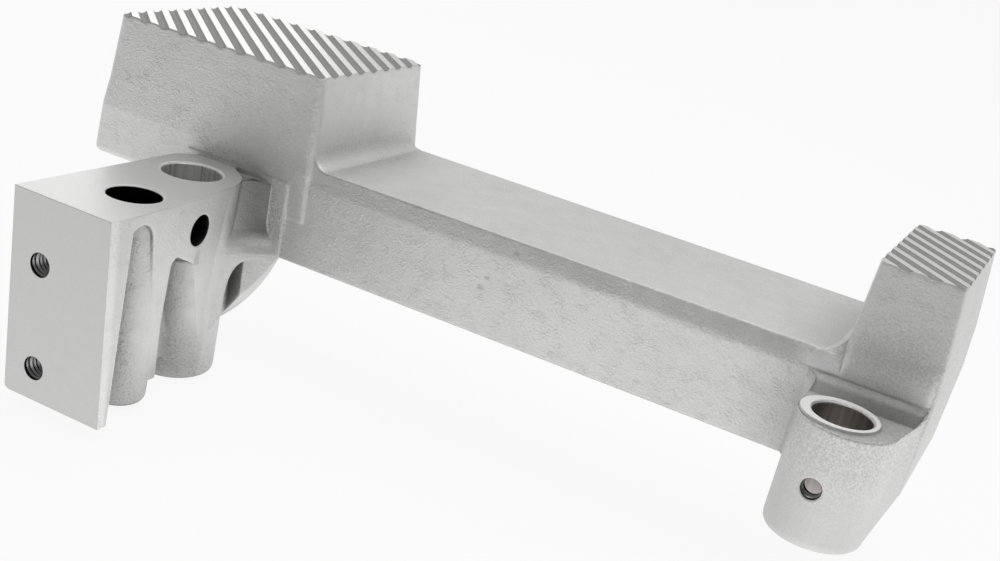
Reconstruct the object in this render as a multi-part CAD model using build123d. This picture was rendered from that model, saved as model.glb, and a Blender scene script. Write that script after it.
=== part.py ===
from build123d import *
import math
import os

# Guide bracket, one aluminium casting. Millimetres, +Z up, X along the beam, Y to the back.
# The origin is on the axis of the front guide bore, in the machined top of the guide block.

# How far parts of the casting run into each other, how far a cutter runs past what it cuts,
# and how near an edge must lie to a height to count as lying on it
LAP = 1.0
PAST = 5.0
NEAR = 0.01

# Heights shared by the whole casting
PAD_TOP = 42.5
BEAM_TOP = 9.5
SHOULDER = 2.7
BEAM_BOTTOM = -28.6
BEAM_UNDERCUT = 1.1

# Beam: the top face is narrower than the body and tapers to the right
BEAM_FRONT = 60.3
BEAM_BACK = 131.0
BEAM_START_X = -22.0
BEAM_END_X = 264.6
BEAM_TOP_FRONT = (60.4, 63.2)
BEAM_TOP_BACK = (131.0, 128.0)
SHOULDER_R = 6.0
BEAM_WALL = 7.0
CORE_DRAFT = 2.0
CORE_CORNER = 4.0

# Large serrated pad, from the top down to its open foot
PAD_LEVELS = (
    (PAD_TOP, -65.4, 28.5, 61.6, 135.6),
    (18.0, -68.2, 30.8, 60.2, 136.6),
    (6.5, -70.4, 32.0, 59.6, 137.2),
    (-13.5, -73.2, 32.0, 60.4, 136.0),
)
PAD_CORNER = 3.6
PAD_FOOT_R = 2.5
PAD_FILLET = 6.0
PAD_WALL = 8.0

# Small serrated pad on top of the arm
ARM_LEVELS = (
    (PAD_TOP, 235.1, 262.2, 61.8, 127.5),
    (15.0, 233.8, 265.0, 60.8, 129.0),
    (0.0, 233.2, 265.6, 60.2, 130.0),
    (BEAM_BOTTOM, 233.2, 264.9, 60.3, 129.0),
)
ARM_CORNER = 3.0
ARM_FILLET = 2.0
ARM_WALL = 7.0
FOOT_LAND = 0.1

# Serrations, the same on both pads
GROOVE_PITCH = 6.35
GROOVE_ANGLE = -45.0
GROOVE_WIDTH = 3.6
GROOVE_DEPTH = 0.8
GROOVE_PHASE = -0.15

# Guide block: a mounting plate, a top slab and two guide bosses
FACE_Y = -29.1
BLOCK_LEFT = -25.3
BLOCK_RIGHT = 15.9
BLOCK_BEND = (14.4, 15.0)
BLOCK_BEND_R = 200.0
BLOCK_BOTTOM = -68.0
BLOCK_DRAFT = 3.6
PLATE_RIGHT_LOW = 17.2
PLATE_BOTTOM = -74.4
PLATE_BACK_TOP = -17.6
PLATE_BACK_LOW = -24.8
PLATE_CORNER_R = 2.0
EDGE_R = 0.8
CROWN_ANGLE = 52.0

# Guide bores and their bosses
BORE_1_R = 9.525
BORE_1_DEPTH = 60.0
BOSS_1_TOP_R = 14.6
BOSS_1_LOW_R = 10.2
BOSS_1_BOTTOM = -77.0
BORE_2_X = -7.4
BORE_2_Y = 39.9
BORE_2_R = 11.11
BOSS_2_TOP_R = 18.2
BOSS_2_LOW_R = 15.9
BOSS_2_BOTTOM = -77.8
BOSS_FOOT_R = 3.0
BORE_CHAMFER = 0.7

# Pockets in the right-hand side of the guide block
WEB_X = 0.0
POCKET_1_TOP = -4.6
POCKET_1_RIGHT = ((-5.7, -10.0), (0.8, -50.0), (2.4, BLOCK_BOTTOM))
POCKET_2_LEFT = ((7.2, -26.0), (6.6, -45.0), (8.2, BLOCK_BOTTOM))
POCKET_2_TOP = -21.0
POCKET_2_CORNER = 3.5
SKIRT_Y = 22.5
SKIRT_TOP = -26.5
SKIRT_BOTTOM = -60.0
SKIRT_CENTRE = (-5.0, 36.0)

# Neck between the rear boss and the beam, and the tongue under the beam
NECK_TOP = -1.3
NECK_SIDE_X = 21.4
NECK_CORNER_X = 14.8
NECK_HOLLOW = (9.2, 51.5)
HOLLOW_LEAN = -0.4
HOLLOW_ROWS = ((-15.0, 0.0), (-19.0, 0.15), (-22.0, 0.45), (-24.5, 0.78), (-27.0, 0.95), (-29.5, 1.0))
RIDGE_TOP_RUN = 13.0
RIDGE_RUN = 3.4
RIDGE_BEND_Z = -47.0
RIDGE_FOOT_Z = -51.5
RIDGE_HEEL = (-2.0, -58.0)
NECK_FRONT = ((5.5, 52.5), (12.8, 50.5))
NECK_HEEL = (7.0, 33.9)
NECK_LEFT_Y = 52.5
NECK_LEFT_X = -17.4
NECK_BULGE = 0.8
TONGUE_FRONT = 59.5
TONGUE_EDGE = 1.5
TONGUE_INSET = 6.5
TONGUE_RIGHT = (21.9, 22.0)
TONGUE_RIGHT_Z = -26.8
TONGUE_TOP = 1.5
TONGUE_BEND = (13.0, -44.6)
TONGUE_TIP = (-1.0, -60.5)
TONGUE_LEFT_Z = (-60.0, -45.0)

# Right-hand boss with its machined ring
BORE_3_X = 242.8
BORE_3_Y = 38.5
BORE_3_R = 9.525
BOSS_3_X = 244.9
BOSS_3_Y = 39.6
BOSS_3_R = 16.0
BOSS_3_BOTTOM = -40.5
BOSS_3_TOP = -1.0
BOSS_3_FOOT_R = 2.5
RING_X = 241.9
RING_R = 12.5
BOSS_3_SIDE_R = 4.0
BOSS_3_VALLEY_R = 4.0

# Tapped and cross holes
FACE_HOLE_R = 4.3
FACE_HOLE_X = -12.6
FACE_HOLE_Z = (-24.2, -62.3)
FACE_HOLE_DEPTH = 17.0
CROSS_HOLE_R = 5.9
CROSS_HOLE_Y = 21.7
CROSS_HOLE_Z = -13.1
CROSS_HOLE_DEPTH = 18.0
SCREW_HOLE_R = 3.35
SCREW_HOLE_Z = -20.4


def flat_face(points):
    """Face from a closed list of corner points."""
    return make_face(Polyline(*points, close=True))


def yz_prism(points, x0, x1):
    """Closed outline of (y, z) points, solid from x0 to x1."""
    face = flat_face([(x0, y, z) for y, z in points])
    return extrude(face, amount=x1 - x0, dir=(1, 0, 0))


def level_face(level, radius):
    """Rounded rectangle for one row of a pad table."""
    z, x0, x1, y0, y1 = level
    return (Pos((x0 + x1) / 2, (y0 + y1) / 2, z) * RectangleRounded(x1 - x0, y1 - y0, radius)).face()


def stack(levels, radius):
    """Solid with straight walls through all rows of a pad table."""
    return loft([level_face(level, radius) for level in reversed(levels)], ruled=True)


def upright(x, y, r, z_low, z_top):
    """Upright cylinder."""
    return Pos(x, y, (z_low + z_top) / 2) * Cylinder(r, z_top - z_low)


def along_x(y, z, r, x_low, x_high):
    """Cylinder lying along X."""
    return Pos((x_low + x_high) / 2, y, z) * Rot(0, 90, 0) * Cylinder(r, x_high - x_low)


def along_y(x, z, r, y_low, y_high):
    """Cylinder lying along Y."""
    return Pos(x, (y_low + y_high) / 2, z) * Rot(90, 0, 0) * Cylinder(r, y_high - y_low)


def post(x, y, z_top, r_top, z_low, r_low, foot_r):
    """Upright round post, tapered from r_top to r_low, with a soft rounded foot."""
    lean = (r_top - r_low) / (z_top - z_low)
    side = (r_low + lean * foot_r, z_low + foot_r)
    under = (r_low - foot_r, z_low)
    profile = make_face([
        Polyline((0, z_top), (r_top, z_top), side),
        Bezier(side, (r_low, z_low), under),
        Polyline(under, (0, z_low), (0, z_top)),
    ])
    return Pos(x, y, 0) * revolve(Plane.XZ * profile, Axis.Z)


def cove(plane, radius, length):
    """Concave fillet along the plane's normal; floor along its x, wall along its y."""
    bulge = radius * (1 - math.sqrt(0.5))
    outline = Polyline((0, radius), (-LAP, radius), (-LAP, -LAP), (radius, -LAP), (radius, 0))
    face = make_face([outline, ThreePointArc((radius, 0), (bulge, bulge), (0, radius))])
    return extrude(plane * face, amount=length)


def beam_section(x, top_front, top_back):
    """Cross-section of the beam at x; the top narrows above the shoulder."""
    return flat_face([
        (x, BEAM_FRONT + BEAM_UNDERCUT, BEAM_BOTTOM),
        (x, BEAM_FRONT, SHOULDER),
        (x, top_front, BEAM_TOP),
        (x, top_back, BEAM_TOP),
        (x, BEAM_BACK, SHOULDER),
        (x, BEAM_BACK, BEAM_BOTTOM),
    ])


def make_pad_and_beam():
    """Beam and large pad with the cove between them and a soft shoulder along the beam."""
    start = beam_section(BEAM_START_X, BEAM_TOP_FRONT[0], BEAM_TOP_BACK[0])
    end = beam_section(BEAM_END_X, BEAM_TOP_FRONT[1], BEAM_TOP_BACK[1])
    beam = loft([start, end], ruled=True)
    pad = stack(PAD_LEVELS, PAD_CORNER)
    pad = fillet(pad.faces().sort_by(Axis.Z)[0].edges(), PAD_FOOT_R)
    body = beam + pad
    on_top = body.edges().filter_by_position(Axis.Z, BEAM_TOP - NEAR, BEAM_TOP + NEAR)
    foot = [e for e in on_top if e.center().X < PAD_LEVELS[2][2]]
    body = fillet(foot, PAD_FILLET)
    at_shoulder = body.edges().filter_by_position(Axis.Z, SHOULDER - NEAR, SHOULDER + NEAR)
    long_edges = [e for e in at_shoulder if e.length > (BEAM_END_X - BEAM_START_X) / 2]
    return fillet(long_edges, SHOULDER_R)


def beam_top_edge(x, ends):
    """Y of the front or back edge of the beam's top face at x."""
    return ends[0] + (ends[1] - ends[0]) * (x - BEAM_START_X) / (BEAM_END_X - BEAM_START_X)


def make_arm():
    """Arm with its pad, standing on the right end of the beam."""
    arm = stack(ARM_LEVELS, ARM_CORNER)
    wall_x = ARM_LEVELS[1][1]
    front = beam_top_edge(wall_x - ARM_FILLET, BEAM_TOP_FRONT)
    back = beam_top_edge(wall_x - ARM_FILLET, BEAM_TOP_BACK)
    foot_plane = Plane(origin=(wall_x, back - FOOT_LAND, BEAM_TOP), x_dir=(-1, 0, 0), z_dir=(0, -1, 0))
    return arm + cove(foot_plane, ARM_FILLET, back - front - 2 * FOOT_LAND)


def core(x0, x1, y0, y1, z0, z1):
    """Moulding core pushed up from below, with draft and cut corners."""
    base = Rectangle(x1 - x0, y1 - y0)
    base = chamfer(base.vertices(), CORE_CORNER)
    return extrude(Pos((x0 + x1) / 2, (y0 + y1) / 2, z0) * base, amount=z1 - z0, taper=CORE_DRAFT)


def make_cores():
    """Hollow underside: two chambers under the large pad, one along the beam and one up the arm."""
    foot, pad_x0, pad_x1, _, pad_y1 = PAD_LEVELS[3]
    arm_x0, arm_x1, arm_y0, arm_y1 = ARM_LEVELS[2][1:]
    front = BEAM_FRONT + PAD_WALL
    pad_roof = PAD_TOP - GROOVE_DEPTH - PAD_WALL
    arm_roof = PAD_TOP - GROOVE_DEPTH - ARM_WALL
    below = BEAM_BOTTOM - LAP
    left_chamber = core(pad_x0 + PAD_WALL, BEAM_START_X - LAP, front, pad_y1 - PAD_WALL, foot - LAP, pad_roof)
    right_chamber = core(BEAM_START_X + PAD_WALL, pad_x1 - PAD_WALL, front, BEAM_BACK - PAD_WALL, below,
                         pad_roof)
    beam_chamber = core(BEAM_START_X + BEAM_WALL, BEAM_END_X - BEAM_WALL, BEAM_FRONT + BEAM_WALL,
                        BEAM_BACK - BEAM_WALL, below, BEAM_TOP - BEAM_WALL)
    arm_chamber = core(arm_x0 + ARM_WALL, arm_x1 - ARM_WALL, arm_y0 + ARM_WALL, arm_y1 - ARM_WALL, below,
                       arm_roof)
    return [left_chamber, right_chamber, beam_chamber, arm_chamber]


def cut_grooves(body, levels):
    """Cut the round-bottomed grooves across one pad top."""
    x0, x1, y0, y1 = levels[0][1:]
    turn = math.radians(GROOVE_ANGLE)
    corners = [(x, y) for x in (x0, x1) for y in (y0, y1)]
    along = [x * math.cos(turn) + y * math.sin(turn) for x, y in corners]
    across = [y * math.cos(turn) - x * math.sin(turn) for x, y in corners]
    radius = ((GROOVE_WIDTH / 2) ** 2 + GROOVE_DEPTH ** 2) / (2 * GROOVE_DEPTH)
    first = math.ceil((min(across) - GROOVE_PHASE) / GROOVE_PITCH)
    last = math.floor((max(across) - GROOVE_PHASE) / GROOVE_PITCH)
    grooves = []
    for i in range(first, last + 1):
        s = GROOVE_PHASE + i * GROOVE_PITCH
        bar = along_x(s, PAD_TOP - GROOVE_DEPTH + radius, radius, min(along) - PAST, max(along) + PAST)
        grooves.append(Rot(0, 0, GROOVE_ANGLE) * bar)
    return body - grooves


def block_drop(z):
    """How far the drafted side of the guide block has moved in at height z."""
    return -z * math.tan(math.radians(BLOCK_DRAFT))


def make_block():
    """Top slab, rib and plain left side of the guide block; the right side runs tangent into the boss."""
    centre = (BORE_2_X, BORE_2_Y)
    reach = math.dist(BLOCK_BEND, centre)
    toward_bend = math.atan2(BLOCK_BEND[1] - BORE_2_Y, BLOCK_BEND[0] - BORE_2_X)
    touch = toward_bend + math.acos(BOSS_2_TOP_R / reach)
    crown = math.radians(CROWN_ANGLE)

    def on_boss(angle):
        return (BORE_2_X + BOSS_2_TOP_R * math.cos(angle), BORE_2_Y + BOSS_2_TOP_R * math.sin(angle))

    wall = BEAM_FRONT + 3 * LAP
    crown_x, crown_y = on_boss(crown)
    wall_x = crown_x - (wall - crown_y) * math.tan(crown)
    outline = make_face([
        Polyline((crown_x, crown_y), (wall_x, wall), (NECK_LEFT_X, wall), (BLOCK_LEFT, NECK_LEFT_Y),
                 (BLOCK_LEFT, FACE_Y), (BLOCK_RIGHT, FACE_Y), BLOCK_BEND, on_boss(touch)),
        ThreePointArc(on_boss(touch), on_boss((touch + crown) / 2), on_boss(crown)),
    ])
    bend = [v for v in outline.vertices() if math.dist((v.X, v.Y), BLOCK_BEND) < LAP]
    outline = fillet(bend, BLOCK_BEND_R)
    return extrude(outline, amount=BLOCK_BOTTOM, taper=BLOCK_DRAFT)


def pocket_1():
    """Tall arched pocket beside the mounting plate."""
    spring = POCKET_1_RIGHT[0]
    left = PLATE_BACK_TOP - LAP
    crest = ((left + spring[0]) / 2, POCKET_1_TOP)
    below = BLOCK_BOTTOM - PAST
    outline = [
        ThreePointArc((WEB_X, left, spring[1]), (WEB_X, crest[0], crest[1]), (WEB_X, *spring)),
        Polyline(*[(WEB_X, y, z) for y, z in POCKET_1_RIGHT], (WEB_X, POCKET_1_RIGHT[2][0], below),
                 (WEB_X, FACE_Y + LAP, below), (WEB_X, FACE_Y + LAP, BLOCK_BOTTOM), (WEB_X, left, spring[1])),
    ]
    return extrude(make_face(outline), amount=BLOCK_RIGHT - WEB_X + PAST, dir=(1, 0, 0))


def pocket_2():
    """Wide pocket between the rib and the rear boss."""
    top_y, top_z = POCKET_2_LEFT[0]
    corner_z = POCKET_2_TOP - POCKET_2_CORNER
    corner_y = top_y + POCKET_2_CORNER
    nick = POCKET_2_CORNER * (1 - math.sqrt(0.5))
    below = BLOCK_BOTTOM - PAST
    outline = [
        ThreePointArc((WEB_X, top_y, corner_z), (WEB_X, top_y + nick, POCKET_2_TOP - nick),
                      (WEB_X, corner_y, POCKET_2_TOP)),
        Polyline((WEB_X, corner_y, POCKET_2_TOP), (WEB_X, SKIRT_Y, SKIRT_TOP), (WEB_X, BORE_2_Y, SKIRT_TOP),
                 (WEB_X, BORE_2_Y, below), (WEB_X, POCKET_2_LEFT[2][0], below),
                 *[(WEB_X, y, z) for y, z in reversed(POCKET_2_LEFT[1:])], (WEB_X, top_y, corner_z)),
    ]
    return extrude(make_face(outline), amount=BLOCK_RIGHT - WEB_X + PAST, dir=(1, 0, 0))


def skirt(block):
    """Flare of the rear boss below the slab, kept inside the side of the block."""
    share = SKIRT_BOTTOM / BOSS_2_BOTTOM
    low_r = BOSS_2_TOP_R + (BOSS_2_LOW_R - BOSS_2_TOP_R) * share
    lip_x = BLOCK_BEND[0] - block_drop(SKIRT_TOP)
    top_r = math.dist(SKIRT_CENTRE, (lip_x, SKIRT_Y))
    low = Pos(BORE_2_X, BORE_2_Y, SKIRT_BOTTOM) * Circle(low_r)
    top = Pos(*SKIRT_CENTRE, SKIRT_TOP + LAP) * Circle(top_r)
    return loft([low.face(), top.face()]) & block


def make_plate():
    """Mounting plate, machined flat in front and drafted behind."""
    outline = flat_face([
        (BLOCK_LEFT, FACE_Y, 0),
        (BLOCK_LEFT, FACE_Y, PLATE_BOTTOM),
        (PLATE_RIGHT_LOW, FACE_Y, PLATE_BOTTOM),
        (BLOCK_RIGHT, FACE_Y, 0),
    ])
    body = extrude(outline, amount=PLATE_BACK_TOP - FACE_Y, dir=(0, 1, 0))
    corners = body.edges().filter_by(Axis.Y).group_by(Axis.Z)[0].sort_by(Axis.X)
    body = fillet(corners[0], PLATE_CORNER_R)
    below = PLATE_BOTTOM - PAST
    back = PLATE_BACK_TOP + PAST
    behind = [(PLATE_BACK_TOP, 0), (PLATE_BACK_LOW, PLATE_BOTTOM), (PLATE_BACK_LOW, below), (back, below),
              (back, 0)]
    return body - yz_prism(behind, BLOCK_LEFT - PAST, PLATE_RIGHT_LOW + PAST)


def tongue_outline(y, inset):
    """Outline of the web under the beam at depth y, its right-hand edge moved in by inset."""
    right_top, right_low = (x - inset for x in TONGUE_RIGHT)
    corner = (right_low, y, TONGUE_RIGHT_Z)
    bend = (TONGUE_BEND[0] - inset, y, TONGUE_BEND[1])
    tip = (TONGUE_TIP[0] - inset, y, TONGUE_TIP[1])
    return make_face([
        Polyline((BLOCK_LEFT, y, TONGUE_TOP), (right_top, y, TONGUE_TOP), corner),
        ThreePointArc(corner, bend, tip),
        Polyline(tip, (BLOCK_LEFT / 2, y, TONGUE_LEFT_Z[0]), (BLOCK_LEFT, y, TONGUE_LEFT_Z[1]),
                 (BLOCK_LEFT, y, TONGUE_TOP)),
    ])


def make_tongue():
    """Web under the beam, with the neck and ridge that join it to the rear boss."""
    outline = tongue_outline(TONGUE_FRONT, 0)
    edge_y = TONGUE_FRONT + TONGUE_EDGE
    tongue = extrude(outline, amount=TONGUE_EDGE, dir=(0, 1, 0))
    back = tongue_outline(BEAM_FRONT + BEAM_WALL, TONGUE_INSET)
    backing = loft([tongue_outline(edge_y, 0), back], ruled=True)
    reach = tongue + extrude(outline, amount=TONGUE_FRONT - BORE_2_Y, dir=(0, -1, 0))
    return tongue + backing + (make_neck() & reach) + make_ridge()


def neck_side():
    """Point on the rear boss where the flush side of the neck starts."""
    return (BORE_2_X + BOSS_2_TOP_R - LAP, BORE_2_Y)


def neck_section(z, share):
    """Cross-section of the neck at height z; share is 1 where its side is flush and less in the hollow."""
    wall = TONGUE_FRONT + LAP
    side = neck_side()
    full = ((side[0] + NECK_SIDE_X) / 2 - NECK_BULGE, (side[1] + TONGUE_FRONT) / 2 + NECK_BULGE)
    bend = [a + (b - a) * share for a, b in zip(NECK_HOLLOW, full)]
    corner_x = NECK_CORNER_X + (NECK_SIDE_X - NECK_CORNER_X) * max(share, 0)
    corner = (corner_x, TONGUE_FRONT, z)
    back = [(corner_x, wall), (NECK_LEFT_X, wall), (BLOCK_LEFT + LAP, NECK_LEFT_Y),
            (BLOCK_LEFT + LAP, BORE_2_Y), NECK_HEEL, side]
    return make_face([
        ThreePointArc((*side, z), (*bend, z), corner),
        Polyline(corner, *[(x, y, z) for x, y in back]),
    ])


def make_neck():
    """Fill between the rear boss and the beam; the hollow beside the boss runs out softly at its floor."""
    rows = [neck_section(z, share) for z, share in ((NECK_TOP, HOLLOW_LEAN), *HOLLOW_ROWS)]
    hollow = loft(list(reversed(rows)), ruled=True)
    shelf = HOLLOW_ROWS[-1][0]
    wall = TONGUE_FRONT + LAP
    front = [(BORE_2_X, BORE_2_Y), *NECK_FRONT, (NECK_SIDE_X, TONGUE_FRONT), (NECK_SIDE_X, wall),
             (NECK_LEFT_X, wall), (BLOCK_LEFT + LAP, NECK_LEFT_Y), (BLOCK_LEFT + LAP, BORE_2_Y)]
    base = flat_face([(x, y, shelf) for x, y in front])
    lower = extrude(base, amount=shelf - TONGUE_TIP[1], dir=(0, 0, -1))
    return hollow + lower


def make_ridge():
    """Flush side of the neck carried on down the boss, ending in a curved ridge over the recess."""
    side = neck_side()
    run = Vector(NECK_SIDE_X - side[0], TONGUE_FRONT - side[1], 0)
    plane = Plane(origin=(*side, 0), x_dir=run, z_dir=run.cross(Vector(0, 0, 1)))
    floor = HOLLOW_ROWS[-1][0]
    edge = make_face([
        Bezier((RIDGE_TOP_RUN, floor), (RIDGE_RUN, floor), (RIDGE_RUN, RIDGE_BEND_Z)),
        Polyline((RIDGE_RUN, RIDGE_BEND_Z), (RIDGE_RUN, RIDGE_FOOT_Z), RIDGE_HEEL,
                 (RIDGE_HEEL[0], floor), (RIDGE_TOP_RUN, floor)),
    ])
    body = extrude(neck_section(floor, 1.0), amount=floor - RIDGE_HEEL[1], dir=(0, 0, -1))
    return body & extrude(plane * edge, amount=BOSS_2_TOP_R / 2, both=True)


def make_right_boss():
    """Boss for the right-hand bore, its web to the beam and the machined ring."""
    left = BOSS_3_X - BOSS_3_R
    right = BOSS_3_X + BOSS_3_R
    wall = BEAM_FRONT + LAP
    body = post(BOSS_3_X, BOSS_3_Y, BOSS_3_TOP, BOSS_3_R, BOSS_3_BOTTOM, BOSS_3_R, BOSS_3_FOOT_R)
    side_start = (left, BEAM_FRONT - BOSS_3_SIDE_R)
    side_end = (left - BOSS_3_SIDE_R, BEAM_FRONT)
    nick = BOSS_3_SIDE_R * (1 - math.sqrt(0.5))
    outline = make_face([
        Line((left, BOSS_3_Y), side_start),
        ThreePointArc(side_start, (left - nick, BEAM_FRONT - nick), side_end),
        Polyline(side_end, (side_end[0], wall), (BEAM_END_X, wall), (BEAM_END_X, BEAM_FRONT),
                 (right, BOSS_3_Y), (left, BOSS_3_Y)),
    ])
    web = Pos(0, 0, BOSS_3_TOP) * extrude(outline, amount=BOSS_3_BOTTOM - BOSS_3_TOP)
    low_z = BOSS_3_BOTTOM + BOSS_3_FOOT_R
    below = BOSS_3_BOTTOM - PAST
    under = [(BOSS_3_Y - LAP, low_z), (BOSS_3_Y, low_z), (BEAM_FRONT, BEAM_BOTTOM),
             (wall + LAP, BEAM_BOTTOM), (wall + LAP, below), (BOSS_3_Y - LAP, below)]
    slope = yz_prism(under, side_end[0] - PAST, BEAM_END_X + PAST)
    valley_plane = Plane(origin=(side_end[0], BEAM_FRONT, BOSS_3_TOP), x_dir=(0, -1, 0), z_dir=(1, 0, 0))
    valley = cove(valley_plane, BOSS_3_VALLEY_R, BEAM_END_X - side_end[0])
    over_web = Pos(0, 0, BOSS_3_TOP - LAP) * extrude(outline, amount=LAP + BOSS_3_VALLEY_R)
    valley = valley & over_web
    ring = upright(RING_X, BORE_3_Y, RING_R, BOSS_3_TOP - LAP, 0)
    return body + (web - slope) + valley + ring


def bore(x, y, r, z_low):
    """Guide bore from the machined top down to z_low, with a chamfered mouth."""
    mouth = Pos(x, y, (LAP - BORE_CHAMFER) / 2) * Cone(r, r + BORE_CHAMFER + LAP, BORE_CHAMFER + LAP)
    return [upright(x, y, r, z_low, LAP), mouth]


def drill(body):
    """Guide bores, tapped holes and cross holes."""
    cuts = bore(0, 0, BORE_1_R, -BORE_1_DEPTH)
    cuts += bore(BORE_2_X, BORE_2_Y, BORE_2_R, BOSS_2_BOTTOM - LAP)
    cuts += bore(BORE_3_X, BORE_3_Y, BORE_3_R, BOSS_3_BOTTOM - LAP)
    for z in FACE_HOLE_Z:
        cuts.append(along_y(FACE_HOLE_X, z, FACE_HOLE_R, FACE_Y - LAP, FACE_Y + FACE_HOLE_DEPTH))
    cross_end = BLOCK_BEND[0] - CROSS_HOLE_DEPTH
    cuts.append(along_x(CROSS_HOLE_Y, CROSS_HOLE_Z, CROSS_HOLE_R, cross_end, BLOCK_RIGHT + PAST))
    cuts.append(along_y(BORE_3_X, SCREW_HOLE_Z, SCREW_HOLE_R, BOSS_3_Y - BOSS_3_R - LAP, BORE_3_Y))
    return body - cuts


boss_1 = post(0, 0, 0, BOSS_1_TOP_R, BOSS_1_BOTTOM, BOSS_1_LOW_R, BOSS_FOOT_R)
boss_2 = post(BORE_2_X, BORE_2_Y, 0, BOSS_2_TOP_R, BOSS_2_BOTTOM, BOSS_2_LOW_R, BOSS_FOOT_R)
plain_block = make_block()
pockets = [pocket_1(), pocket_2()]
guide = plain_block - pockets
# The mouths of the pockets are soft, but the upper edge of the wide one stays sharp up to the boss
wide_corner_y = POCKET_2_LEFT[0][0] + POCKET_2_CORNER
mouths = [e for e in new_edges(plain_block, *pockets, combined=guide)
          if e.center().X > BLOCK_RIGHT / 2 and e.center().Y < wide_corner_y]
guide = fillet(mouths, EDGE_R)
guide = guide + make_plate() + boss_1 + boss_2 + skirt(plain_block)
bracket = make_pad_and_beam() + make_arm()
for chamber in make_cores():
    bracket = bracket - chamber
bracket = bracket + make_tongue() + guide + make_right_boss()
bracket = cut_grooves(bracket, PAD_LEVELS)
bracket = cut_grooves(bracket, ARM_LEVELS)
bracket = drill(bracket)

os.makedirs("parts", exist_ok=True)
export_step(bracket, "parts/guide_bracket.step")
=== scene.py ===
import math
from types import SimpleNamespace

import bmesh
import bpy
from mathutils import Matrix, Vector


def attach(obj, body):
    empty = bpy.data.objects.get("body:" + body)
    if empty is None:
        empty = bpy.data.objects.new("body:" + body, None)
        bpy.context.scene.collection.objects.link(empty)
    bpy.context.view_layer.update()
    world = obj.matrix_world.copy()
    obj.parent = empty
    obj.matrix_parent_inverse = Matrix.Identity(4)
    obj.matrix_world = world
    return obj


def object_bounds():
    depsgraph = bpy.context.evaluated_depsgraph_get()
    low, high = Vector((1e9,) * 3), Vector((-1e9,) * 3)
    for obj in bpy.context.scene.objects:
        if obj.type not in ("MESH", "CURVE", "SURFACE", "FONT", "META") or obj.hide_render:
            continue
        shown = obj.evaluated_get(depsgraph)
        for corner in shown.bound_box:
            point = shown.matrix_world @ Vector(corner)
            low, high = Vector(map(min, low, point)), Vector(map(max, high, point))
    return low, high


# Dresses the guide bracket: bare cast aluminium with machined faces, on a pale floor.
# Lengths on the part are millimetres in the CAD frame, and MM turns them into the scene's metres.
# The floor, the lamps and the camera are placed in metres.

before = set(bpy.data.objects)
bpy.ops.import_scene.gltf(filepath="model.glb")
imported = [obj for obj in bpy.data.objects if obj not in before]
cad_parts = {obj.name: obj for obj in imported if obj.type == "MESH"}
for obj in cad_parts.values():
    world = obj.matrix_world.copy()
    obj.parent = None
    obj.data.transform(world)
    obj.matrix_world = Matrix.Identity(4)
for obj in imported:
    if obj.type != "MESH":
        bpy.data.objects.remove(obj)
cad_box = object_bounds()
MM = 0.001

# Machined places, as in the part's drawing. A circle is its centre in its own plane and its radius.
# The block lies left of BLOCK_SIDE, and the margins are how far a face may be from its nominal place.
HOLE_MARGIN = 0.12
FLAT_MARGIN = 0.15
CUT_MARGIN = 0.1
LEVEL = 0.98
BLOCK_TOP_Z = 0.0
BLOCK_SIDE = 100.0
FACE_Y = -29.1
PAD_TOP = 42.5
GROOVE_DEPTH = 0.8
GROOVE_UP = 0.3
BORE_1 = (0.0, 0.0, 9.525)
BORE_2 = (-7.4, 39.9, 11.11)
BORE_3 = (242.8, 38.5, 9.525)
RING = (241.9, 38.5, 12.5)
RIM = 0.9
FACE_HOLE_X = -12.6
FACE_HOLE_Z = (-24.2, -62.3)
FACE_HOLE_R = 4.3
SET_SCREW = (242.8, -20.4, 3.35)
SET_SCREW_BACK = 29.6
CROSS_HOLE = (21.7, -13.1, 5.9)
CROSS_HOLE_END = 16.0

# Cast places where the skin gets painted shade or painted light, or where its grain is smoother or coarser. A
# range is low, high and softness, or where the place begins and where it is full. BARREL is the round of the
# right-hand boss.
BARREL = (244.9, 39.6, 17.0)
BARREL_TOP = -1.5
BARREL_SHADED_SIDE = (0.3, -0.7)
PLATE_SIDE = (-23.7, -26.7)
NEAR_ARM = {"x": (205.0, 246.0)}
NEAR_ARM_Z = 2.0
NEAR_ARM_FADE = (34.0, 6.0)
HOLLOW_X = (6.0, 22.0, 0.5)
HOLLOW_BACK = 59.4
HOLLOW_UPPER = {"y": (44.0, 58.5), "z": (-22.0, 1.0, 3.5)}
HOLLOW_FOOT = {"y": (42.0, 48.0), "z": (-31.0, -22.0, 2.0)}
STRIP = {"x": (14.6, 22.2, 0.2), "y": (59.2, 61.0, 0.2), "z": (-27.0, 1.8, 0.5)}
POCKET_RIGHT = 13.4
POCKET = {"y": (4.0, 36.0, 1.0), "z": (-80.0, -22.0, 1.0)}
POCKET_SHUT = (0.92, 0.75)
VALLEY = {"x": (224.0, 265.0, 1.0), "y": (50.5, 61.5, 1.0), "z": (-1.5, 3.3, 0.5)}
VALLEY_ALONG = {"x": (222.0, 262.0)}
VALLEY_UP = {"z": (0.3, 1.6)}
VALLEY_FLOOR = (0.15, 0.35)
OVER_VALLEY = {"x": (216.0, 230.0), "y": (58.0, 59.5), "z": (2.8, 4.0)}
OVER_VALLEY_FADE = {"z": (15.0, 5.0)}
SHELF_Z = -1.0
SHELF = {"y": (51.5, 49.5)}
SHELF_START = 225.0
BEAM_TOP_Z = 9.5
ARM_FRONT = {"x": (205.0, 225.0), "z": (0.0, 12.0)}
CUT_BEHIND_FACE = 12.0
LIP_RIGHT = 17.5
LIP_BACK = (24.0, 13.0)
LIP_LOW = -26.0

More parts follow.
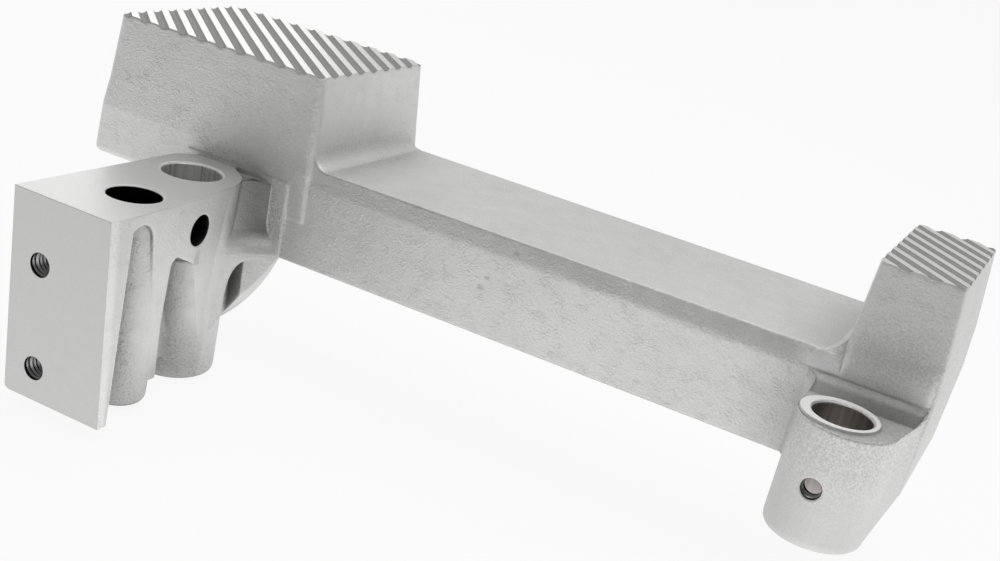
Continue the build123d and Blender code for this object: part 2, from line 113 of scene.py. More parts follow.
# Small dark flaws that the photograph shows on the casting: place and radius
FLAWS = (
    ((14.3, 8.7, -3.4), 1.0),
    ((-49.5, 61.0, 23.4), 1.6),
    ((106.3, 60.6, -11.0), 1.3),
    ((108.6, 60.6, -6.5), 1.0),
    ((117.0, 60.8, 5.9), 1.1),
    ((261.0, 26.5, -17.2), 1.1),
)

# Brightness of the metal, place by place
SKIN = 0.86
# the strip at the hollow's far edge, kept at this value clear of the painted shade
STRIP_VALUE = 0.84
# painted highlight on edges: the block's front edges, the plate's right side and the bore rims, where the
# machined chamfer is bright too
LIP_HIGHLIGHT = 0.98
FACE = 0.67
BLOCK_TOP = 0.95
BRIGHT = 0.98
# painted shade in the pad's grooves
SHADED_GROOVE = 0.36
# painted shade: bore 1 is painted near black inside
BORE_1_SHADE = 0.04
BORE_2_VALUE = 0.95
BORE_3_VALUE = 0.66
# painted shade: the small holes are painted near black inside
HOLE_SHADE = 0.05

# Factors on the brightness of the skin. Those above the specks are painted shade, or painted light where
# above 1, and the pits' shade is broken up by the grain; the specks and the flaws are the metal's own marks.
RECESS_SHADE = 0.45
HOLLOW_SHADE = 0.42
# how far the hollow's painted shade is taken back toward the bare skin at its foot
HOLLOW_FOOT_SHARE = 0.45
VALLEY_SHADE = (0.42, 0.36)
VALLEY_UP_SHADE = 0.62
SHELF_SHADE = 0.78
OVER_VALLEY_LIGHT = 1.50
POCKET_SHADE = 0.88
BEAM_TOP_SHADE = 0.93
ARM_FRONT_SHADE = 0.90
BARREL_SHADE = 0.84
SHADED_PIT_TONE = 0.70
SPECK_AMOUNT = 0.22
FLAW_TONE = 0.84

# Noises in the metal: scale per mm, detail, roughness and, where given, distortion
CLOUD = (0.035, 3.0, 0.55)
PATCH = (0.15, 3.0, 0.6)
GRAIN = (1.3, 3.0, 0.65)
FINE = (3.6, 2.0, 0.6)
BLOTCH = (0.16, 4.0, 0.7)
CUTTER = (1.0, 2.0, 0.6)
RAGGED = (0.7, 3.0, 0.7, 1.0)
CUTTER_STRETCH = (0.25, 9.0, 0.25)
TURNED_STRETCH = (0.6, 0.6, 0.02)

# Between which levels of a noise, of the openness or of the turn of an edge a mark begins and is full
BLOTCH_LEVELS = (0.45, 0.7)
PIT_OPENNESS = (0.92, 0.62)
PIT_GRAIN = (0.50, 0.66)
SPECK_GRAIN = (0.36, 0.64)
SPECK_MIDDLE = 0.55
LIP_TURN = (0.985, 0.90)
LIP_OPENNESS = (0.70, 0.95)
FLAW_RAGGED = 4.0
FLAW_EDGE = (3.1, 2.0)
NEAR_ARM_COARSE = 0.8

# How far the noises change the brightness, and how deep they go in mm
CLOUD_AMOUNT = 0.12
PATCH_AMOUNT = 0.08
GRAIN_AMOUNT = 0.14
CUTTER_AMOUNT = 0.10
BLOCK_TOP_GRAIN = 0.30
FACE_GRAIN = 0.08
# streaks of painted reflection along bores 2 and 3
BORE_2_REFLECTIONS = 2.2
BORE_3_REFLECTIONS = 0.5
GRAIN_DEPTH = 0.20
COARSE_DEPTH = 0.36
BARREL_DEPTH_SHARE = 0.3
FINE_SHARE = 0.35
CUTTER_DEPTH = 0.012
FLAW_DEPTH = 0.12

# Reach of the shading in recesses, and softness of the edges, in mm
RECESS_REACH = 30.0
LIP_REACH = 3.0
LIP_SOFTNESS = 1.0
EDGE_SOFTNESS = 1.6
CUT_SOFTNESS = 0.3

# Roughness, with what the patches of the skin and the cutter marks add
SKIN_ROUGH = 0.50
PATCH_ROUGH = 0.10
BORE_ROUGH = 0.24
FACE_ROUGH = 0.36
MARKS_ROUGH = 0.14
BLOCK_TOP_ROUGHER = 0.08
RING_ROUGH = 0.80
BORE_2_ROUGH = 0.42
THREAD_ROUGH = 0.30
THREAD_ROUGHER = 0.15

# Share of green and blue in the color: the metal is a little warm, and bore 3 is warmer
BLUE = 0.985
BORE_3_GREEN = 0.96
BORE_3_BLUE = 0.935

# How metallic the block's top and the ring are; the rest is bare metal
BLOCK_TOP_METALLIC = 0.75
RING_METALLIC = 0.30

# Threads: pitch, depth and length, and the place of the first turn along Y. Their metal has a speckle
# with its scale per metre, detail and roughness.
FACE_THREAD = {"pitch": 1.6, "depth": 0.75, "length": 15.0}
FACE_THREAD_Y = FACE_Y + 0.9
SCREW_THREAD = {"pitch": 1.25, "depth": 0.5, "length": 3.6}
SCREW_THREAD_Y = 24.4
THREAD_TURN_STEPS = 40
THREAD_VALUES = (0.4675, 0.55)
THREAD_SPECK = (900.0, 2.0, 0.5)

# Surface of the valley that rises behind the right-hand boss
VALLEY_FRONT = 51.0
VALLEY_TOP = 3.6
FLATNESS = 1.25
VALLEY_STEPS = 14
VALLEY_ACROSS = 40
SHELF_LEFT = 228.87
LEDGE_Y = 56.3
NOOK_R = 4.0
ARM_FRONT_Y = 60.3
ARM_INSET = 0.5
BEAM_LEAN = 0.4
BEAM_LEAN_END = (231.0, 234.0)
CORNER_LEAN = 0.6
CORNER_LEAN_START = (261.0, 264.0)
SLOPE_START = (260.9, 39.6)
SLOPE_END = (264.6, 60.3)
SKIRT = 0.1

# Flare of the rear boss under the roof of its pocket: axis, then radius and height at both edges
FLARE = (-5.0, 36.0)
FLARE_LOW = (22.05, -26.3)
FLARE_HIGH = (21.7, -20.3)
FLARE_ARC = (-78.0, -36.0)
FLARE_STEPS = 16

# Fillet between the arm's left wall and the top of the beam, wider at its front end.
# Each pair is a value and its change for each mm of height, or the values in front and behind.
FOOT_WALL = (233.55, 0.04)
FOOT_FRONT = (62.95, 0.38)
FOOT_TOP = 9.46
FOOT_BACK = 127.2
FOOT_R = (6.5, 4.4)
FOOT_WIDE = 14.0
FOOT_LEANING = 6.0
FOOT_STEPS = 10
FOOT_ROWS = 24
FOOT_CROWDING = 1.6

# Floor: pale paper that runs out to a darker table in front, in metres
FLOOR_SIZE = 8.0
FLOOR_GAP = 0.001
PAPER = 0.95
TABLE = 0.12
PAPER_END = (-1.6, -1.0)
BACKDROP_SHARE = 0.91

# Light: the studio's brightness away from and toward one direction, and the lamps as name, place,
# target, width, height and power
STUDIO_LEVELS = (0.68, 0.20)
STUDIO_TOWARD = (0.3, -0.95, 0.2)
STUDIO_FADE = (-0.3, 0.6)
LAMPS = (
    ("key", (0.1, 0.3, 1.4), (0.1, 0.05, 0.0), 1.4, 1.4, 6.0),
    ("boss_card", (0.25, -0.02, 0.45), (0.242, 0.0385, 0.0), 0.2, 0.2, 0.35),
    ("left_card", (-0.95, 1.0, 0.42), (-0.01, 0.0, 0.0), 0.7, 0.5, 0.7),
)

# The photograph's camera, fitted to the bores and edges of the part
CAMERA_LENS = 48.1652
CAMERA_SENSOR = 36.0
CAMERA_SHIFT = (0.01367, 0.14503)
CAMERA_PLACE = (0.289245, -0.352082, 0.146404)
CAMERA_ROWS = (
    (0.867913, -0.3591006, 0.3431819),
    (0.4549455, 0.2973694, -0.8394022),
    (0.1993781, 0.8846571, 0.421462),
)


# Node trees

class Nodes:
    """Short way to write a material's node tree."""

    def __init__(self, material):
        material.use_nodes = True
        self.tree = material.node_tree
        self.tree.nodes.clear()

    def add(self, kind, inputs=None, **settings):
        node = self.tree.nodes.new(kind)
        for name, value in settings.items():
            setattr(node, name, value)
        for name, value in (inputs or {}).items():
            self.set(node.inputs[name], value)
        return node

    def set(self, socket, value):
        if isinstance(value, bpy.types.NodeSocket):
            self.tree.links.new(value, socket)
        else:
            socket.default_value = value

    def math(self, operation, a, b=None, c=None, clamp=False):
        node = self.add("ShaderNodeMath", operation=operation, use_clamp=clamp)
        for socket, value in zip(node.inputs, (a, b, c)):
            if value is not None:
                self.set(socket, value)
        return node.outputs[0]

    def both(self, a, b):
        return self.math("MULTIPLY", a, b)

    def either(self, a, b):
        return self.math("MAXIMUM", a, b)

    def above(self, value, limit):
        return self.math("GREATER_THAN", value, limit)

    def below(self, value, limit):
        return self.math("LESS_THAN", value, limit)

    def near(self, value, middle, reach):
        return self.math("COMPARE", value, middle, reach)

    def noise(self, place, scale, detail, roughness, distortion=0.0):
        node = self.add("ShaderNodeTexNoise", {"Vector": place, "Scale": scale, "Detail": detail,
                                               "Roughness": roughness, "Distortion": distortion})
        return node.outputs["Fac"]

    def stretched(self, place, scale):
        return self.add("ShaderNodeMapping", {"Vector": place, "Scale": scale}).outputs[0]

    def step(self, value, low, high):
        """Smooth rise from 0 at low to 1 at high."""
        node = self.add("ShaderNodeMapRange", {"Value": value, "From Min": low, "From Max": high},
                        interpolation_type="SMOOTHSTEP")
        return node.outputs[0]

    def between(self, value, low, high, soft):
        """1 between low and high, with soft ends."""
        rise = self.step(value, low - soft, low + soft)
        fall = self.step(value, high + soft, high - soft)
        return self.both(rise, fall)

    def inside(self, at, **ranges):
        """1 where x, y and z lie in their ranges: low, high and softness, or beginning and full."""
        mask = None
        for axis, limits in ranges.items():
            shape = self.between if len(limits) == 3 else self.step
            part = shape(getattr(at, axis), *limits)
            mask = part if mask is None else self.both(mask, part)
        return mask

    def mix(self, share, a, b):
        """Number that goes from a to b."""
        node = self.add("ShaderNodeMix", {0: share, 2: a, 3: b}, data_type="FLOAT")
        return node.outputs[0]

    def mix_color(self, share, a, b):
        node = self.add("ShaderNodeMix", {0: share, 6: a, 7: b}, data_type="RGBA")
        return node.outputs[2]

    def varied(self, base, noise, amount, clamp=False):
        """The base, raised and lowered by a noise."""
        return self.math("MULTIPLY_ADD", self.math("SUBTRACT", noise, 0.5), amount, base, clamp=clamp)

    def toned(self, value, mask, tone):
        """The value, times tone where the mask is 1."""
        return self.both(value, self.math("MULTIPLY_ADD", mask, tone - 1.0, 1.0))


def gray(value):
    return (value, value, value, 1.0)


# Metal of the casting

def find_place(n):
    """Where a point of the part is, in mm, and which way its face looks."""
    place = n.add("ShaderNodeTexCoord").outputs["Object"]
    mm = n.add("ShaderNodeVectorMath", {0: place, "Scale": 1.0 / MM}, operation="SCALE").outputs[0]
    x, y, z = n.add("ShaderNodeSeparateXYZ", {"Vector": mm}).outputs
    facing = n.add("ShaderNodeNewGeometry").outputs["True Normal"]
    right, back, up = n.add("ShaderNodeSeparateXYZ", {"Vector": facing}).outputs
    return SimpleNamespace(mm=mm, x=x, y=y, z=z, facing=facing, right=right, back=back, up=up,
                           level=n.above(up, LEVEL))


def distance(n, a, b, point):
    """Distance from a point in the plane of a and b."""
    da = n.math("SUBTRACT", a, point[0])
    db = n.math("SUBTRACT", b, point[1])
    return n.math("SQRT", n.math("ADD", n.both(da, da), n.both(db, db)))


def machined_places(n, at):
    """Masks of the cut faces and the holes."""
    def in_hole(a, b, circle):
        return n.below(distance(n, a, b, circle), circle[2] + HOLE_MARGIN)

    top = n.both(at.level, n.near(at.z, BLOCK_TOP_Z, FLAT_MARGIN))
    ring = n.both(top, n.below(distance(n, at.x, at.y, RING), RING[2] + CUT_MARGIN))
    top = n.either(n.both(top, n.below(at.x, BLOCK_SIDE)), ring)
    lands = n.both(at.level, n.above(at.z, PAD_TOP - FLAT_MARGIN))
    face = n.below(at.y, FACE_Y + CUT_MARGIN)
    flats = n.either(n.either(top, lands), face)
    grooves = n.both(n.above(at.z, PAD_TOP - GROOVE_DEPTH - CUT_MARGIN / 2), n.above(at.up, GROOVE_UP))

    bore_1, bore_2, bore_3 = (in_hole(at.x, at.y, circle) for circle in (BORE_1, BORE_2, BORE_3))
    bores = n.either(bore_1, n.either(bore_2, bore_3))
    rims = n.either(*(n.below(distance(n, at.x, at.y, bore), bore[2] + RIM) for bore in (BORE_1, BORE_2)))
    rims = n.both(rims, n.near(at.z, BLOCK_TOP_Z - RIM / 2, (RIM + CUT_MARGIN) / 2))

    cross_hole = n.both(in_hole(at.y, at.z, CROSS_HOLE), n.below(at.x, CROSS_HOLE_END))
    screw_hole = n.both(in_hole(at.x, at.z, SET_SCREW), n.below(at.y, SET_SCREW_BACK))
    face_holes = n.either(*(in_hole(at.x, at.z, (FACE_HOLE_X, z, FACE_HOLE_R)) for z in FACE_HOLE_Z))
    face_holes = n.both(n.both(face_holes, n.above(at.y, FACE_Y + CUT_MARGIN)), n.below(at.y, 0.0))
    small_holes = n.either(cross_hole, n.either(face_holes, screw_hole))
    return SimpleNamespace(top=top, ring=ring, lands=lands, face=face, flats=flats, grooves=grooves,
                           bore_1=bore_1, bore_2=bore_2, bore_3=bore_3, bores=bores, rims=rims,
                           small_holes=small_holes, all=n.either(flats, bores))


def metal_noises(n, at, bores):
    """Blasted grain of the skin, and cutter marks: straight on the flats, along the axis in the bores, where
    the streaks also paint reflections.
    """
    lines = n.noise(n.stretched(at.mm, CUTTER_STRETCH), *CUTTER)
    streaks = n.noise(n.stretched(at.mm, TURNED_STRETCH), *CUTTER)
    from_middle = n.math("ABSOLUTE", n.math("SUBTRACT", at.z, NEAR_ARM_Z))
    near_arm = n.both(n.inside(at, **NEAR_ARM), n.step(from_middle, *NEAR_ARM_FADE))
    blotch = n.step(n.noise(at.mm, *BLOTCH), *BLOTCH_LEVELS)
    coarse = n.math("MULTIPLY_ADD", near_arm, NEAR_ARM_COARSE, blotch, clamp=True)
    return SimpleNamespace(cloud=n.noise(at.mm, *CLOUD), patch=n.noise(at.mm, *PATCH),
                           grain=n.noise(at.mm, *GRAIN), fine=n.noise(at.mm, *FINE),
                           lines=lines, streaks=streaks, marks=n.mix(bores, lines, streaks),
                           near_arm=near_arm, coarse=coarse)


def hollow_shade(n, at, value):
    """Painted shade in the hollow beside the rear boss: dark toward its far wall, taken back at its foot and
    kept light on its far edge.
    """
    in_hollow = n.both(n.inside(at, x=HOLLOW_X), n.below(at.y, HOLLOW_BACK))
    upper = n.both(in_hollow, n.inside(at, **HOLLOW_UPPER))
    value = n.toned(value, upper, HOLLOW_SHADE)
    foot = n.both(in_hollow, n.inside(at, **HOLLOW_FOOT))
    value = n.mix(n.both(foot, HOLLOW_FOOT_SHARE), value, SKIN)
    return n.mix(n.inside(at, **STRIP), value, STRIP_VALUE)


def valley_shade_and_light(n, at, value):
    """Painted shade in the valley behind the right-hand boss, darkest low down, and on the shelf before it,
    with painted light on the wall over it.
    """
    valley = n.both(n.inside(at, **VALLEY), n.step(at.up, *VALLEY_FLOOR))
    tone = n.mix(n.inside(at, **VALLEY_ALONG), *VALLEY_SHADE)
    tone = n.mix(n.inside(at, **VALLEY_UP), tone, VALLEY_UP_SHADE)
    value = n.both(value, n.mix(valley, 1.0, tone))
    shelf = n.both(n.both(at.level, n.above(at.x, SHELF_START)), n.near(at.z, SHELF_Z, CUT_MARGIN))
    value = n.toned(value, n.both(shelf, n.inside(at, **SHELF)), SHELF_SHADE)
    over = n.both(n.inside(at, **OVER_VALLEY), n.inside(at, **OVER_VALLEY_FADE))
    return n.toned(value, n.both(over, n.below(at.back, -0.8)), OVER_VALLEY_LIGHT)


def skin_value(n, at, noises, barrel):
    """Brightness of the blasted skin, with painted shade in its recesses and on faces turned from the light,
    and painted highlights on edges.
    """
    value = n.varied(SKIN, noises.cloud, CLOUD_AMOUNT)
    value = n.varied(value, noises.patch, PATCH_AMOUNT)
    value = n.varied(value, noises.grain, GRAIN_AMOUNT)
    # painted shade: the skin darkens where the part shuts it in, by ambient occlusion
    openness = n.add("ShaderNodeAmbientOcclusion", {"Distance": RECESS_REACH * MM}, samples=8).outputs["AO"]
    value = n.both(value, n.math("MULTIPLY_ADD", openness, 1.0 - RECESS_SHADE, RECESS_SHADE))
    # painted shade in the hollow beside the rear boss
    value = hollow_shade(n, at, value)
    # painted shade in the valley and on its shelf, painted light on the wall over it
    value = valley_shade_and_light(n, at, value)

    # painted shade deep in the pockets of the block's side
    pocket = n.both(n.below(at.x, POCKET_RIGHT), n.inside(at, **POCKET))
    value = n.toned(value, n.both(pocket, n.step(openness, *POCKET_SHUT)), POCKET_SHADE)
    # painted shade on the beam's top face
    value = n.toned(value, n.both(at.level, n.near(at.z, BEAM_TOP_Z, 2 * FLAT_MARGIN)), BEAM_TOP_SHADE)
    # painted shade on the upper right of the arm's front face
    arm_front = n.both(n.inside(at, **ARM_FRONT), n.below(at.back, -0.6))
    value = n.toned(value, arm_front, ARM_FRONT_SHADE)
    # painted shade on the side of the right-hand boss's round turned to -X
    value = n.toned(value, n.both(barrel, n.step(at.right, *BARREL_SHADED_SIDE)), BARREL_SHADE)
    # dark grain spots only where the skin is shut in: painted shade in the recesses, broken up by the grain
    shaded_pits = n.both(n.step(openness, *PIT_OPENNESS), n.step(noises.grain, *PIT_GRAIN))
    value = n.toned(value, shaded_pits, SHADED_PIT_TONE)
    speck = n.math("SUBTRACT", n.step(noises.grain, *SPECK_GRAIN), SPECK_MIDDLE)
    specks = n.both(noises.near_arm, speck)
    value = n.both(value, n.math("MULTIPLY_ADD", specks, SPECK_AMOUNT, 1.0))
    # painted highlight on the plate's right side and on the block's front edges
    plate_side_highlight = n.both(n.above(at.right, 0.7), n.step(at.y, *PLATE_SIDE))
    value = n.mix(plate_side_highlight, value, LIP_HIGHLIGHT)
    return n.mix(lip_highlights(n, at), value, LIP_HIGHLIGHT)


def lip_highlights(n, at):
    """Painted highlight on the convex edges of the block's front, found where a softened normal leaves the
    true one.
    """
    softened = n.add("ShaderNodeBevel", {"Radius": LIP_SOFTNESS * MM}, samples=8).outputs[0]
    turn = n.add("ShaderNodeVectorMath", {0: softened, 1: at.facing}, operation="DOT_PRODUCT")
    openness = n.add("ShaderNodeAmbientOcclusion", {"Distance": LIP_REACH * MM}, samples=8).outputs["AO"]
    lips = n.both(n.step(turn.outputs["Value"], *LIP_TURN), n.step(openness, *LIP_OPENNESS))
    lips = n.both(lips, n.both(n.below(at.x, LIP_RIGHT), n.below(at.y, LIP_BACK[0])))
    return n.both(lips, n.either(n.below(at.y, LIP_BACK[1]), n.above(at.z, LIP_LOW)))


def flaw_spots(n, at):
    """Ragged spots at the flaws."""
    ragged = n.noise(at.mm, *RAGGED)
    spots = None
    for point, radius in FLAWS:
        away = n.add("ShaderNodeVectorMath", {0: at.mm, 1: point}, operation="DISTANCE").outputs["Value"]
        reach = n.math("MULTIPLY_ADD", ragged, FLAW_RAGGED, n.math("DIVIDE", away, radius))
        spot = n.step(reach, *FLAW_EDGE)
        spots = spot if spots is None else n.either(spots, spot)
    return spots


def metal_value(n, at, cut, noises, barrel, flaws):
    """Brightness of the whole part, with painted shade in the grooves, bore 1 and the small holes, and
    painted reflections along bores 2 and 3.
    """
    flat = n.varied(n.mix(cut.face, BLOCK_TOP, FACE), noises.lines, CUTTER_AMOUNT)
    flat = n.varied(flat, noises.grain, n.mix(cut.face, BLOCK_TOP_GRAIN, FACE_GRAIN))
    value = n.mix(cut.flats, skin_value(n, at, noises, barrel), flat)
    # the bore rims: bright machined chamfers with painted highlight
    value = n.mix(cut.rims, value, LIP_HIGHLIGHT)
    # painted shade in the pad's grooves
    value = n.mix(cut.grooves, value, SHADED_GROOVE)
    value = n.mix(n.either(cut.lands, cut.ring), value, BRIGHT)
    # painted shade inside bore 1
    value = n.mix(cut.bore_1, value, BORE_1_SHADE)
    # painted reflections along bores 2 and 3, as streaks
    value = n.mix(cut.bore_2, value, n.varied(BORE_2_VALUE, noises.streaks, BORE_2_REFLECTIONS, clamp=True))
    value = n.mix(cut.bore_3, value, n.varied(BORE_3_VALUE, noises.streaks, BORE_3_REFLECTIONS, clamp=True))
    # painted shade inside the small holes
    value = n.mix(cut.small_holes, value, HOLE_SHADE)
    return n.toned(value, flaws, FLAW_TONE)


def metal_roughness(n, cut, noises):
    skin = n.math("MULTIPLY_ADD", noises.patch, PATCH_ROUGH, SKIN_ROUGH)
    machined = n.math("MULTIPLY_ADD", noises.marks, MARKS_ROUGH, n.mix(cut.face, BORE_ROUGH, FACE_ROUGH))
    rough = n.mix(cut.all, skin, machined)
    block_top = n.both(cut.top, n.math("SUBTRACT", 1.0, cut.ring))
    rough = n.mix(block_top, rough, n.math("ADD", rough, BLOCK_TOP_ROUGHER))
    rough = n.mix(n.either(cut.ring, cut.rims), rough, RING_ROUGH)
    return n.mix(cut.bore_2, rough, BORE_2_ROUGH)


def cast_aluminium():
    """Blasted casting skin, with cutter-marked flats and turned bores where the part is machined."""
    material = bpy.data.materials.new("cast_aluminium")
    n = Nodes(material)
    at = find_place(n)
    cut = machined_places(n, at)
    noises = metal_noises(n, at, cut.bores)
    barrel = n.both(n.below(distance(n, at.x, at.y, BARREL), BARREL[2]), n.below(at.z, BARREL_TOP))
    flaws = flaw_spots(n, at)
    value = metal_value(n, at, cut, noises, barrel, flaws)
    green = n.toned(value, cut.bore_3, BORE_3_GREEN)
    blue = n.both(value, n.mix(cut.bore_3, BLUE, BORE_3_BLUE))
    tint = n.add("ShaderNodeCombineColor", {"Red": value, "Green": green, "Blue": blue})

    depth = n.both(n.mix(noises.coarse, GRAIN_DEPTH, COARSE_DEPTH), n.mix(barrel, 1.0, BARREL_DEPTH_SHARE))
    height = n.both(n.math("ADD", noises.grain, n.both(noises.fine, FINE_SHARE)), depth)
    height = n.mix(cut.all, height, n.both(noises.marks, CUTTER_DEPTH))
    height = n.math("MULTIPLY_ADD", flaws, -FLAW_DEPTH, height)
    crisp = n.either(cut.all, n.below(at.y, FACE_Y + CUT_BEHIND_FACE))
    softness = n.mix(crisp, EDGE_SOFTNESS * MM, CUT_SOFTNESS * MM)
    soft_edge = n.add("ShaderNodeBevel", {"Radius": softness}, samples=8).outputs[0]
    bump = n.add("ShaderNodeBump", {"Height": height, "Distance": MM, "Strength": 1.0, "Normal": soft_edge})

    metallic = n.mix(cut.top, 1.0, n.mix(cut.ring, BLOCK_TOP_METALLIC, RING_METALLIC))
    shader = n.add("ShaderNodeBsdfPrincipled", {"Base Color": tint.outputs[0], "Metallic": metallic,
                                                "Roughness": metal_roughness(n, cut, noises),
                                                "Normal": bump.outputs[0]})
    n.add("ShaderNodeOutputMaterial", {"Surface": shader.outputs[0]})
    return material


def thread_material():
    """Plain metal with a fine uneven roughness."""
    material = bpy.data.materials.new("thread_metal")
    n = Nodes(material)
    place = n.add("ShaderNodeTexCoord").outputs["Object"]
    speck = n.noise(place, *THREAD_SPECK)
    rough = n.math("MULTIPLY_ADD", speck, THREAD_ROUGHER, THREAD_ROUGH)
    color = n.mix_color(speck, gray(THREAD_VALUES[0]), gray(THREAD_VALUES[1]))
    shader = n.add("ShaderNodeBsdfPrincipled", {"Base Color": color, "Metallic": 1.0, "Roughness": rough})
    n.add("ShaderNodeOutputMaterial", {"Surface": shader.outputs[0]})
    return material


# Added pieces: the threads, and the soft fillets that the casting has where the solid steps

def add_piece(name, rows, material, smooth):
    """Sheet through rows of points, given in mm; add_thread and add_fillet attach it to the part's one body.
    """
    mesh = bmesh.new()
    grid = [[mesh.verts.new([value * MM for value in point]) for point in row] for row in rows]
    for a, b in zip(grid, grid[1:]):
        for j in range(len(a) - 1):
            mesh.faces.new((a[j], a[j + 1], b[j + 1], b[j]))
    for face in mesh.faces:
        face.smooth = smooth
    data = bpy.data.meshes.new(name)
    mesh.to_mesh(data)
    mesh.free()
    piece = bpy.data.objects.new(name, data)
    bpy.context.scene.collection.objects.link(piece)
    piece.data.materials.append(material)
    return piece


def thread_rows(radius, pitch, depth, length):
    """V thread inside a hole that opens at the origin and runs along +Y."""
    steps = int(length / pitch * THREAD_TURN_STEPS)
    profile = ((0.0, -0.5), (0.0, -0.42), (depth, -0.06), (depth, 0.06), (0.0, 0.42), (0.0, 0.5))
    rows = []
    for i in range(steps + 1):
        turns = i / THREAD_TURN_STEPS
        angle = 2 * math.pi * turns
        fade = min(1.0, turns, (steps - i) / THREAD_TURN_STEPS)
        row = []
        for inward, across in profile:
            r = radius + 0.06 - inward * fade
            row.append((r * math.cos(angle), (turns + across) * pitch, r * math.sin(angle)))
        rows.append(row)
    return rows


def add_thread(name, rows, place, material):
    piece = add_piece(name, rows, material, smooth=False)
    piece.location = Vector(place) * MM
    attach(piece, "root")


def add_fillet(name, rows, material):
    piece = add_piece(name, rows, material, smooth=True)
    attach(piece, "root")


def smooth_share(value, low, high):
    share = min(1.0, max(0.0, (value - low) / (high - low)))
    return share * share * (3 - 2 * share)


def concave(share):
    """How far a concave profile has come along its floor and up its wall, both from 0 to 1."""
    angle = math.pi / 2 * share
    return math.sin(angle) ** FLATNESS, 1 - max(0.0, math.cos(angle)) ** FLATNESS


def valley_line(step):
    """One line along the valley, from its left edge to its right one, with both ends turned down."""
    back, up = concave(step / VALLEY_STEPS)
    y = VALLEY_FRONT + (ARM_FRONT_Y - VALLEY_FRONT) * back
    z = VALLEY_TOP - (VALLEY_TOP - SHELF_Z - 0.02) * (1 - up)
    past_ledge = max(0.0, y + (ARM_INSET + BEAM_LEAN) * back - LEDGE_Y)
    nook = NOOK_R - math.sqrt(max(0.0, NOOK_R ** 2 - past_ledge ** 2))
    left = SHELF_LEFT - nook
    slope = (SLOPE_END[0] - SLOPE_START[0]) / (SLOPE_END[1] - SLOPE_START[1])
    right = SLOPE_START[0] + slope * (y - SLOPE_START[1])
    points = []
    for i in range(VALLEY_ACROSS + 1):
        x = left + (right - left) * i / VALLEY_ACROSS
        lean = BEAM_LEAN * (1 - smooth_share(x, *BEAM_LEAN_END))
        lean += CORNER_LEAN * smooth_share(x, *CORNER_LEAN_START)
        points.append((x, y + (ARM_INSET + lean) * back, z))
    ends = [(x, y, SHELF_Z - SKIRT) for x, y, z in (points[0], points[-1])]
    return [ends[0]] + points + [ends[1]]


def flare_row(step):
    """Upright line on the flare of the rear boss."""
    angle = math.radians(FLARE_ARC[0] + (FLARE_ARC[1] - FLARE_ARC[0]) * step / FLARE_STEPS)
    return [(FLARE[0] + r * math.cos(angle), FLARE[1] + r * math.sin(angle), z)
            for r, z in (FLARE_LOW, FLARE_HIGH)]


def foot_row(y):
    """Concave profile from the beam's top up the arm's left wall, leaning back at the front end."""
    narrow = smooth_share(y, FOOT_FRONT[0], FOOT_FRONT[0] + FOOT_WIDE)
    radius = FOOT_R[0] + (FOOT_R[1] - FOOT_R[0]) * narrow
    lean = FOOT_FRONT[1] * (1 - smooth_share(y, FOOT_FRONT[0], FOOT_FRONT[0] + FOOT_LEANING))
    points = []
    for i in range(FOOT_STEPS + 1):
        across, up = concave(i / FOOT_STEPS)
        rise = radius * up
        wall = FOOT_WALL[0] + FOOT_WALL[1] * rise
        points.append((wall - radius * (1 - across), y + lean * rise, FOOT_TOP + rise))
    return points


def foot_rows():
    """All profiles of the arm's foot, close together in front, with a cap that closes the front end."""
    length = FOOT_BACK - FOOT_FRONT[0]
    rows = [foot_row(FOOT_FRONT[0] + length * (i / FOOT_ROWS) ** FOOT_CROWDING) for i in range(FOOT_ROWS + 1)]
    cap = [(x, FOOT_FRONT[0], FOOT_TOP - SKIRT) for x, y, z in rows[0]]
    return [cap] + rows


metal = cast_aluminium()
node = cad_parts["guide_bracket"]
node.data.materials.clear()
node.data.materials.append(metal)

thread_metal = thread_material()
for i, z in enumerate(FACE_HOLE_Z):
    rows = thread_rows(FACE_HOLE_R, **FACE_THREAD)
    add_thread("face_thread_%d" % (i + 1), rows, (FACE_HOLE_X, FACE_THREAD_Y, z), thread_metal)
rows = thread_rows(SET_SCREW[2], **SCREW_THREAD)
add_thread("set_screw_thread", rows, (SET_SCREW[0], SCREW_THREAD_Y, SET_SCREW[1]), thread_metal)

add_fillet("boss_valley", [valley_line(step) for step in range(VALLEY_STEPS + 1)], metal)
add_fillet("pocket_flare", [flare_row(step) for step in range(FLARE_STEPS + 1)], metal)
add_fillet("arm_foot", foot_rows(), metal)


# Floor, light and camera

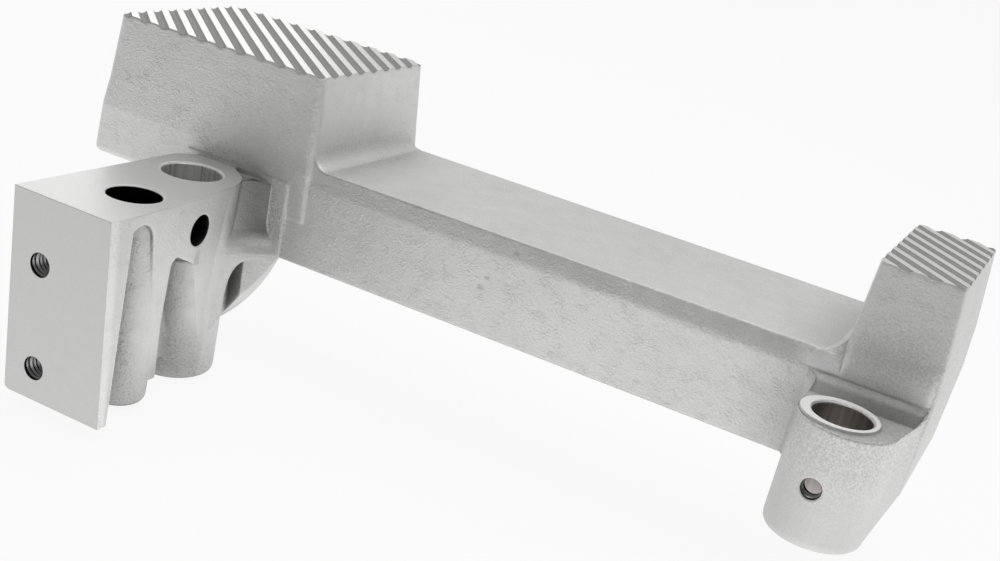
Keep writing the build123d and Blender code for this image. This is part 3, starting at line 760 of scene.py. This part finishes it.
def floor_material():
    """Pale paper under and behind the part, running out to a darker table in front."""
    material = bpy.data.materials.new("floor")
    n = Nodes(material)
    place = n.add("ShaderNodeTexCoord").outputs["Object"]
    depth = n.add("ShaderNodeSeparateXYZ", {"Vector": place}).outputs[1]
    on_paper = n.step(depth, *PAPER_END)
    soft = n.add("ShaderNodeBsdfDiffuse", {"Color": n.mix_color(on_paper, gray(TABLE), gray(PAPER))})
    shown = n.mix_color(on_paper, gray(TABLE), gray(1.0))
    backdrop = n.add("ShaderNodeEmission", {"Color": shown, "Strength": 1.0})
    path = n.add("ShaderNodeLightPath").outputs
    seen = n.either(path["Is Camera Ray"], n.either(path["Is Glossy Ray"], path["Is Transmission Ray"]))
    share = n.both(seen, BACKDROP_SHARE)
    blend = n.add("ShaderNodeMixShader", {0: share, 1: soft.outputs[0], 2: backdrop.outputs[0]})
    n.add("ShaderNodeOutputMaterial", {"Surface": blend.outputs[0]})
    return material


def area_light(name, place, target, width, height, power):
    data = bpy.data.lights.new(name, "AREA")
    data.shape = "RECTANGLE"
    data.size = width
    data.size_y = height
    data.energy = power
    lamp = bpy.data.objects.new(name, data)
    bpy.context.scene.collection.objects.link(lamp)
    lamp.location = place
    lamp.rotation_euler = (Vector(target) - Vector(place)).to_track_quat("-Z", "Y").to_euler()


def studio():
    """World that goes from one level to another along one direction."""
    world = bpy.data.worlds.new("studio")
    bpy.context.scene.world = world
    n = Nodes(world)
    direction = n.add("ShaderNodeTexCoord").outputs["Generated"]
    toward = Vector(STUDIO_TOWARD).normalized()
    dot = n.add("ShaderNodeVectorMath", {0: direction, 1: toward}, operation="DOT_PRODUCT").outputs["Value"]
    level = n.add("ShaderNodeMapRange", {"Value": dot, "From Min": STUDIO_FADE[0], "From Max": STUDIO_FADE[1],
                                         "To Min": STUDIO_LEVELS[0], "To Max": STUDIO_LEVELS[1]},
                  interpolation_type="SMOOTHSTEP")
    sky = n.add("ShaderNodeBackground", {"Strength": level.outputs[0]})
    n.add("ShaderNodeOutputWorld", {"Surface": sky.outputs[0]})


lowest = min(corner[2] for corner in cad_box)
bpy.ops.mesh.primitive_plane_add(size=FLOOR_SIZE, location=(0.0, 0.0, lowest - FLOOR_GAP))
floor = bpy.context.object
floor.name = "floor"
floor.data.materials.append(floor_material())

studio()
for lamp in LAMPS:
    area_light(*lamp)

camera_data = bpy.data.cameras.new("camera")
camera_data.sensor_width = CAMERA_SENSOR
camera_data.lens = CAMERA_LENS
camera_data.shift_x, camera_data.shift_y = CAMERA_SHIFT
camera_data.clip_start = 0.01
camera = bpy.data.objects.new("camera", camera_data)
bpy.context.scene.collection.objects.link(camera)
camera.matrix_world = Matrix.Translation(CAMERA_PLACE) @ Matrix(CAMERA_ROWS).to_4x4()
bpy.context.scene.camera = camera

bpy.context.scene.view_settings.view_transform = "Standard"
